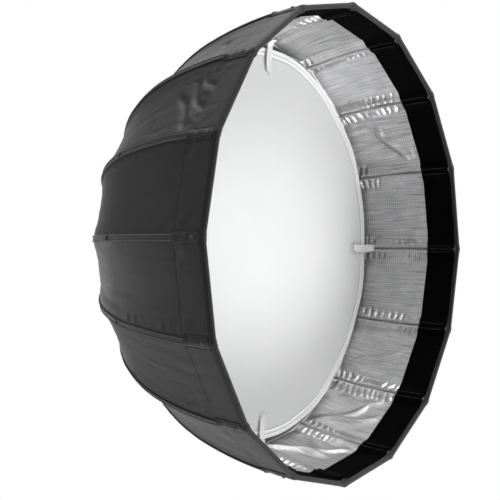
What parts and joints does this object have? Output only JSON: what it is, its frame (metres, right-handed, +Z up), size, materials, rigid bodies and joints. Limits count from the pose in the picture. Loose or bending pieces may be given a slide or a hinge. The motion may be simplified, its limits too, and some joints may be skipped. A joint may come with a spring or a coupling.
{
  "type": "deep round softbox",
  "caption": "Deep folding round softbox: ribs hinge on a rear hub and a sliding runner opens them; silver-lined black shell, inner diffuser, recessed front rim.",
  "frame": {"origin": "centre of the mount bore at the mount ring's rear face, on the optical axis", "axes": "+Z up, +Y out of the rear of the mount toward the lighting head, light leaves toward -Y, +X to the right seen from the front's back"},
  "size_m": [0.6518, 0.3376, 0.6518],
  "materials": {
    "mount_black": "matte moulded",
    "lug_steel": "brushed",
    "hub_black": "matte moulded",
    "pin_steel": "turned",
    "post_steel": "ground",
    "screw_steel": "black oxide",
    "runner_alu": "anodised",
    "button_red": "satin",
    "diffuser_white": "fine white weave",
    "rib_steel": "dark coated spring steel",
    "strut_steel": "zinc plated",
    "shell_black": "satin nylon",
    "lining_silver": "metallised weave",
    "band_black": "matte loop tape",
    "binding_black": "webbing",
    "thread_grey": "sewing thread"
  },
  "bodies": {
    "hub": {"mount_ring": "mount_black", "bayonet_plate": "lug_steel", "hub_ring": "hub_black", "rib_hinge_pins": "pin_steel", "guide_posts": "post_steel", "end_stop_ring": "hub_black", "hub_screws": "screw_steel"},
    "runner": {"runner_ring": "runner_alu", "strut_pins": "pin_steel"},
    "release_button_1": {"release_button_1": "button_red"},
    "release_button_2": {"release_button_2": "button_red"},
    "inner_diffuser": {"inner_diffuser": "diffuser_white"},
    "rib_01": {"rib_01": "rib_steel"},
    "strut_01": {"strut_01": "strut_steel"},
    "gore_01": {"gore_01": "shell_black"},
    "rib_02": {"rib_02": "rib_steel"},
    "strut_02": {"strut_02": "strut_steel"},
    "gore_02": {"gore_02": "shell_black"},
    "rib_03": {"rib_03": "rib_steel"},
    "strut_03": {"strut_03": "strut_steel"},
    "gore_03": {"gore_03": "shell_black"},
    "rib_04": {"rib_04": "rib_steel"},
    "strut_04": {"strut_04": "strut_steel"},
    "gore_04": {"gore_04": "shell_black"},
    "rib_05": {"rib_05": "rib_steel"},
    "strut_05": {"strut_05": "strut_steel"},
    "gore_05": {"gore_05": "shell_black"},
    "rib_06": {"rib_06": "rib_steel"},
    "strut_06": {"strut_06": "strut_steel"},
    "gore_06": {"gore_06": "shell_black"},
    "rib_07": {"rib_07": "rib_steel"},
    "strut_07": {"strut_07": "strut_steel"},
    "gore_07": {"gore_07": "shell_black"},
    "rib_08": {"rib_08": "rib_steel"},
    "strut_08": {"strut_08": "strut_steel"},
    "gore_08": {"gore_08": "shell_black"},
    "rib_09": {"rib_09": "rib_steel"},
    "strut_09": {"strut_09": "strut_steel"},
    "gore_09": {"gore_09": "shell_black"},
    "rib_10": {"rib_10": "rib_steel"},
    "strut_10": {"strut_10": "strut_steel"},
    "gore_10": {"gore_10": "shell_black"},
    "rib_11": {"rib_11": "rib_steel"},
    "strut_11": {"strut_11": "strut_steel"},
    "gore_11": {"gore_11": "shell_black"},
    "rib_12": {"rib_12": "rib_steel"},
    "strut_12": {"strut_12": "strut_steel"},
    "gore_12": {"gore_12": "shell_black"},
    "rib_13": {"rib_13": "rib_steel"},
    "strut_13": {"strut_13": "strut_steel"},
    "gore_13": {"gore_13": "shell_black"},
    "rib_14": {"rib_14": "rib_steel"},
    "strut_14": {"strut_14": "strut_steel"},
    "gore_14": {"gore_14": "shell_black"},
    "rib_15": {"rib_15": "rib_steel"},
    "strut_15": {"strut_15": "strut_steel"},
    "gore_15": {"gore_15": "shell_black"},
    "rib_16": {"rib_16": "rib_steel"},
    "strut_16": {"strut_16": "strut_steel"},
    "gore_16": {"gore_16": "shell_black"}
  },
  "joints": [
    {"name": "rib_01_fold", "type": "hinge", "parent": "hub", "child": "rib_01", "pos_m": [0, -0.0255, 0.07], "axis": [1, 0, 0], "range_deg": [0, 37], "deforming": ["gore_01", "gore_02", "gore_03", "gore_04", "gore_05", "gore_06", "gore_07", "gore_08", "gore_09", "gore_10", "gore_11", "gore_12", "gore_13", "gore_14", "gore_15", "gore_16", "inner_diffuser"]},
    {"name": "rib_02_fold", "type": "hinge", "parent": "hub", "child": "rib_02", "pos_m": [-0.02679, -0.0255, 0.06467], "axis": [0.9239, 0, 0.3827], "range_deg": [0, 37]},
    {"name": "rib_03_fold", "type": "hinge", "parent": "hub", "child": "rib_03", "pos_m": [-0.0495, -0.0255, 0.0495], "axis": [0.7071, 0, 0.7071], "range_deg": [0, 37]},
    {"name": "rib_04_fold", "type": "hinge", "parent": "hub", "child": "rib_04", "pos_m": [-0.06467, -0.0255, 0.02679], "axis": [0.3827, 0, 0.9239], "range_deg": [0, 37]},
    {"name": "rib_05_fold", "type": "hinge", "parent": "hub", "child": "rib_05", "pos_m": [-0.07, -0.0255, 0], "axis": [0, 0, 1], "range_deg": [0, 37]},
    {"name": "rib_06_fold", "type": "hinge", "parent": "hub", "child": "rib_06", "pos_m": [-0.06467, -0.0255, -0.02679], "axis": [-0.3827, 0, 0.9239], "range_deg": [0, 37]},
    {"name": "rib_07_fold", "type": "hinge", "parent": "hub", "child": "rib_07", "pos_m": [-0.0495, -0.0255, -0.0495], "axis": [-0.7071, 0, 0.7071], "range_deg": [0, 37]},
    {"name": "rib_08_fold", "type": "hinge", "parent": "hub", "child": "rib_08", "pos_m": [-0.02679, -0.0255, -0.06467], "axis": [-0.9239, 0, 0.3827], "range_deg": [0, 37]},
    {"name": "rib_09_fold", "type": "hinge", "parent": "hub", "child": "rib_09", "pos_m": [0, -0.0255, -0.07], "axis": [-1, 0, 0], "range_deg": [0, 37]},
    {"name": "rib_10_fold", "type": "hinge", "parent": "hub", "child": "rib_10", "pos_m": [0.02679, -0.0255, -0.06467], "axis": [-0.9239, 0, -0.3827], "range_deg": [0, 37]},
    {"name": "rib_11_fold", "type": "hinge", "parent": "hub", "child": "rib_11", "pos_m": [0.0495, -0.0255, -0.0495], "axis": [-0.7071, 0, -0.7071], "range_deg": [0, 37]},
    {"name": "rib_12_fold", "type": "hinge", "parent": "hub", "child": "rib_12", "pos_m": [0.06467, -0.0255, -0.02679], "axis": [-0.3827, 0, -0.9239], "range_deg": [0, 37]},
    {"name": "rib_13_fold", "type": "hinge", "parent": "hub", "child": "rib_13", "pos_m": [0.07, -0.0255, 0], "axis": [0, 0, -1], "range_deg": [0, 37]},
    {"name": "rib_14_fold", "type": "hinge", "parent": "hub", "child": "rib_14", "pos_m": [0.06467, -0.0255, 0.02679], "axis": [0.3827, 0, -0.9239], "range_deg": [0, 37]},
    {"name": "rib_15_fold", "type": "hinge", "parent": "hub", "child": "rib_15", "pos_m": [0.0495, -0.0255, 0.0495], "axis": [0.7071, 0, -0.7071], "range_deg": [0, 37]},
    {"name": "rib_16_fold", "type": "hinge", "parent": "hub", "child": "rib_16", "pos_m": [0.02679, -0.0255, 0.06467], "axis": [0.9239, 0, -0.3827], "range_deg": [0, 37]},
    {"name": "runner_slide", "type": "slide", "parent": "hub", "child": "runner", "axis": [0, -1, 0], "range_m": [0, 0.04091]},
    {"name": "strut_01_pivot", "type": "hinge", "parent": "runner", "child": "strut_01", "pos_m": [0, -0.0555, 0.061], "axis": [1, 0, 0], "range_deg": [-29.42, 0]},
    {"name": "strut_02_pivot", "type": "hinge", "parent": "runner", "child": "strut_02", "pos_m": [-0.02334, -0.0555, 0.05636], "axis": [0.9239, 0, 0.3827], "range_deg": [-29.42, 0]},
    {"name": "strut_03_pivot", "type": "hinge", "parent": "runner", "child": "strut_03", "pos_m": [-0.04313, -0.0555, 0.04313], "axis": [0.7071, 0, 0.7071], "range_deg": [-29.42, 0]},
    {"name": "strut_04_pivot", "type": "hinge", "parent": "runner", "child": "strut_04", "pos_m": [-0.05636, -0.0555, 0.02334], "axis": [0.3827, 0, 0.9239], "range_deg": [-29.42, 0]},
    {"name": "strut_05_pivot", "type": "hinge", "parent": "runner", "child": "strut_05", "pos_m": [-0.061, -0.0555, 0], "axis": [0, 0, 1], "range_deg": [-29.42, 0]},
    {"name": "strut_06_pivot", "type": "hinge", "parent": "runner", "child": "strut_06", "pos_m": [-0.05636, -0.0555, -0.02334], "axis": [-0.3827, 0, 0.9239], "range_deg": [-29.42, 0]},
    {"name": "strut_07_pivot", "type": "hinge", "parent": "runner", "child": "strut_07", "pos_m": [-0.04313, -0.0555, -0.04313], "axis": [-0.7071, 0, 0.7071], "range_deg": [-29.42, 0]},
    {"name": "strut_08_pivot", "type": "hinge", "parent": "runner", "child": "strut_08", "pos_m": [-0.02334, -0.0555, -0.05636], "axis": [-0.9239, 0, 0.3827], "range_deg": [-29.42, 0]},
    {"name": "strut_09_pivot", "type": "hinge", "parent": "runner", "child": "strut_09", "pos_m": [0, -0.0555, -0.061], "axis": [-1, 0, 0], "range_deg": [-29.42, 0]},
    {"name": "strut_10_pivot", "type": "hinge", "parent": "runner", "child": "strut_10", "pos_m": [0.02334, -0.0555, -0.05636], "axis": [-0.9239, 0, -0.3827], "range_deg": [-29.42, 0]},
    {"name": "strut_11_pivot", "type": "hinge", "parent": "runner", "child": "strut_11", "pos_m": [0.04313, -0.0555, -0.04313], "axis": [-0.7071, 0, -0.7071], "range_deg": [-29.42, 0]},
    {"name": "strut_12_pivot", "type": "hinge", "parent": "runner", "child": "strut_12", "pos_m": [0.05636, -0.0555, -0.02334], "axis": [-0.3827, 0, -0.9239], "range_deg": [-29.42, 0]},
    {"name": "strut_13_pivot", "type": "hinge", "parent": "runner", "child": "strut_13", "pos_m": [0.061, -0.0555, 0], "axis": [0, 0, -1], "range_deg": [-29.42, 0]},
    {"name": "strut_14_pivot", "type": "hinge", "parent": "runner", "child": "strut_14", "pos_m": [0.05636, -0.0555, 0.02334], "axis": [0.3827, 0, -0.9239], "range_deg": [-29.42, 0]},
    {"name": "strut_15_pivot", "type": "hinge", "parent": "runner", "child": "strut_15", "pos_m": [0.04313, -0.0555, 0.04313], "axis": [0.7071, 0, -0.7071], "range_deg": [-29.42, 0]},
    {"name": "strut_16_pivot", "type": "hinge", "parent": "runner", "child": "strut_16", "pos_m": [0.02334, -0.0555, 0.05636], "axis": [0.9239, 0, -0.3827], "range_deg": [-29.42, 0]},
    {"name": "gore_01_fold", "type": "hinge", "parent": "rib_01", "child": "gore_01", "pos_m": [-0.01392, -0.0255, 0.07], "axis": [-0.1854, 0.3118, 0.9319], "range_deg": [0, 14.21]},
    {"name": "gore_02_fold", "type": "hinge", "parent": "rib_02", "child": "gore_02", "pos_m": [-0.03965, -0.0255, 0.05934], "axis": [-0.5279, 0.3118, 0.79], "range_deg": [0, 14.21]},
    {"name": "gore_03_fold", "type": "hinge", "parent": "rib_03", "child": "gore_03", "pos_m": [-0.05934, -0.0255, 0.03965], "axis": [-0.79, 0.3118, 0.5279], "range_deg": [0, 14.21]},
    {"name": "gore_04_fold", "type": "hinge", "parent": "rib_04", "child": "gore_04", "pos_m": [-0.07, -0.0255, 0.01392], "axis": [-0.9319, 0.3118, 0.1854], "range_deg": [0, 14.21]},
    {"name": "gore_05_fold", "type": "hinge", "parent": "rib_05", "child": "gore_05", "pos_m": [-0.07, -0.0255, -0.01392], "axis": [-0.9319, 0.3118, -0.1854], "range_deg": [0, 14.21]},
    {"name": "gore_06_fold", "type": "hinge", "parent": "rib_06", "child": "gore_06", "pos_m": [-0.05934, -0.0255, -0.03965], "axis": [-0.79, 0.3118, -0.5279], "range_deg": [0, 14.21]},
    {"name": "gore_07_fold", "type": "hinge", "parent": "rib_07", "child": "gore_07", "pos_m": [-0.03965, -0.0255, -0.05934], "axis": [-0.5279, 0.3118, -0.79], "range_deg": [0, 14.21]},
    {"name": "gore_08_fold", "type": "hinge", "parent": "rib_08", "child": "gore_08", "pos_m": [-0.01392, -0.0255, -0.07], "axis": [-0.1854, 0.3118, -0.9319], "range_deg": [0, 14.21]},
    {"name": "gore_09_fold", "type": "hinge", "parent": "rib_09", "child": "gore_09", "pos_m": [0.01392, -0.0255, -0.07], "axis": [0.1854, 0.3118, -0.9319], "range_deg": [0, 14.21]},
    {"name": "gore_10_fold", "type": "hinge", "parent": "rib_10", "child": "gore_10", "pos_m": [0.03965, -0.0255, -0.05934], "axis": [0.5279, 0.3118, -0.79], "range_deg": [0, 14.21]},
    {"name": "gore_11_fold", "type": "hinge", "parent": "rib_11", "child": "gore_11", "pos_m": [0.05934, -0.0255, -0.03965], "axis": [0.79, 0.3118, -0.5279], "range_deg": [0, 14.21]},
    {"name": "gore_12_fold", "type": "hinge", "parent": "rib_12", "child": "gore_12", "pos_m": [0.07, -0.0255, -0.01392], "axis": [0.9319, 0.3118, -0.1854], "range_deg": [0, 14.21]},
    {"name": "gore_13_fold", "type": "hinge", "parent": "rib_13", "child": "gore_13", "pos_m": [0.07, -0.0255, 0.01392], "axis": [0.9319, 0.3118, 0.1854], "range_deg": [0, 14.21]},
    {"name": "gore_14_fold", "type": "hinge", "parent": "rib_14", "child": "gore_14", "pos_m": [0.05934, -0.0255, 0.03965], "axis": [0.79, 0.3118, 0.5279], "range_deg": [0, 14.21]},
    {"name": "gore_15_fold", "type": "hinge", "parent": "rib_15", "child": "gore_15", "pos_m": [0.03965, -0.0255, 0.05934], "axis": [0.5279, 0.3118, 0.79], "range_deg": [0, 14.21]},
    {"name": "gore_16_fold", "type": "hinge", "parent": "rib_16", "child": "gore_16", "pos_m": [0.01392, -0.0255, 0.07], "axis": [0.1854, 0.3118, 0.9319], "range_deg": [0, 14.21]},
    {"name": "release_button_1_press", "type": "slide", "parent": "runner", "child": "release_button_1", "axis": [0, 1, 0], "range_m": [0, 0.003], "stiffness_N_per_m": 400, "springref_m": -0.002},
    {"name": "release_button_2_press", "type": "slide", "parent": "runner", "child": "release_button_2", "axis": [0, 1, 0], "range_m": [0, 0.003], "stiffness_N_per_m": 400, "springref_m": -0.002},
    {"name": "inner_diffuser_removal", "type": "slide", "parent": "hub", "child": "inner_diffuser", "axis": [0, -1, 0], "range_m": [0, 0.3]}
  ],
  "couplings": [
    {"joint": "rib_02_fold", "follows": "rib_01_fold", "ratio": 1},
    {"joint": "rib_03_fold", "follows": "rib_01_fold", "ratio": 1},
    {"joint": "rib_04_fold", "follows": "rib_01_fold", "ratio": 1},
    {"joint": "rib_05_fold", "follows": "rib_01_fold", "ratio": 1},
    {"joint": "rib_06_fold", "follows": "rib_01_fold", "ratio": 1},
    {"joint": "rib_07_fold", "follows": "rib_01_fold", "ratio": 1},
    {"joint": "rib_08_fold", "follows": "rib_01_fold", "ratio": 1},
    {"joint": "rib_09_fold", "follows": "rib_01_fold", "ratio": 1},
    {"joint": "rib_10_fold", "follows": "rib_01_fold", "ratio": 1},
    {"joint": "rib_11_fold", "follows": "rib_01_fold", "ratio": 1},
    {"joint": "rib_12_fold", "follows": "rib_01_fold", "ratio": 1},
    {"joint": "rib_13_fold", "follows": "rib_01_fold", "ratio": 1},
    {"joint": "rib_14_fold", "follows": "rib_01_fold", "ratio": 1},
    {"joint": "rib_15_fold", "follows": "rib_01_fold", "ratio": 1},
    {"joint": "rib_16_fold", "follows": "rib_01_fold", "ratio": 1},
    {"joint": "runner_slide", "follows": "rib_01_fold", "m_per_rad": 0.063196},
    {"joint": "strut_01_pivot", "follows": "rib_01_fold", "ratio": -0.79486},
    {"joint": "strut_02_pivot", "follows": "rib_01_fold", "ratio": -0.79486},
    {"joint": "strut_03_pivot", "follows": "rib_01_fold", "ratio": -0.79486},
    {"joint": "strut_04_pivot", "follows": "rib_01_fold", "ratio": -0.79486},
    {"joint": "strut_05_pivot", "follows": "rib_01_fold", "ratio": -0.79486},
    {"joint": "strut_06_pivot", "follows": "rib_01_fold", "ratio": -0.79486},
    {"joint": "strut_07_pivot", "follows": "rib_01_fold", "ratio": -0.79486},
    {"joint": "strut_08_pivot", "follows": "rib_01_fold", "ratio": -0.79486},
    {"joint": "strut_09_pivot", "follows": "rib_01_fold", "ratio": -0.79486},
    {"joint": "strut_10_pivot", "follows": "rib_01_fold", "ratio": -0.79486},
    {"joint": "strut_11_pivot", "follows": "rib_01_fold", "ratio": -0.79486},
    {"joint": "strut_12_pivot", "follows": "rib_01_fold", "ratio": -0.79486},
    {"joint": "strut_13_pivot", "follows": "rib_01_fold", "ratio": -0.79486},
    {"joint": "strut_14_pivot", "follows": "rib_01_fold", "ratio": -0.79486},
    {"joint": "strut_15_pivot", "follows": "rib_01_fold", "ratio": -0.79486},
    {"joint": "strut_16_pivot", "follows": "rib_01_fold", "ratio": -0.79486},
    {"joint": "gore_01_fold", "follows": "rib_01_fold", "ratio": 0.38368},
    {"joint": "gore_02_fold", "follows": "rib_01_fold", "ratio": 0.38368},
    {"joint": "gore_03_fold", "follows": "rib_01_fold", "ratio": 0.38368},
    {"joint": "gore_04_fold", "follows": "rib_01_fold", "ratio": 0.38368},
    {"joint": "gore_05_fold", "follows": "rib_01_fold", "ratio": 0.38368},
    {"joint": "gore_06_fold", "follows": "rib_01_fold", "ratio": 0.38368},
    {"joint": "gore_07_fold", "follows": "rib_01_fold", "ratio": 0.38368},
    {"joint": "gore_08_fold", "follows": "rib_01_fold", "ratio": 0.38368},
    {"joint": "gore_09_fold", "follows": "rib_01_fold", "ratio": 0.38368},
    {"joint": "gore_10_fold", "follows": "rib_01_fold", "ratio": 0.38368},
    {"joint": "gore_11_fold", "follows": "rib_01_fold", "ratio": 0.38368},
    {"joint": "gore_12_fold", "follows": "rib_01_fold", "ratio": 0.38368},
    {"joint": "gore_13_fold", "follows": "rib_01_fold", "ratio": 0.38368},
    {"joint": "gore_14_fold", "follows": "rib_01_fold", "ratio": 0.38368},
    {"joint": "gore_15_fold", "follows": "rib_01_fold", "ratio": 0.38368},
    {"joint": "gore_16_fold", "follows": "rib_01_fold", "ratio": 0.38368}
  ]
}
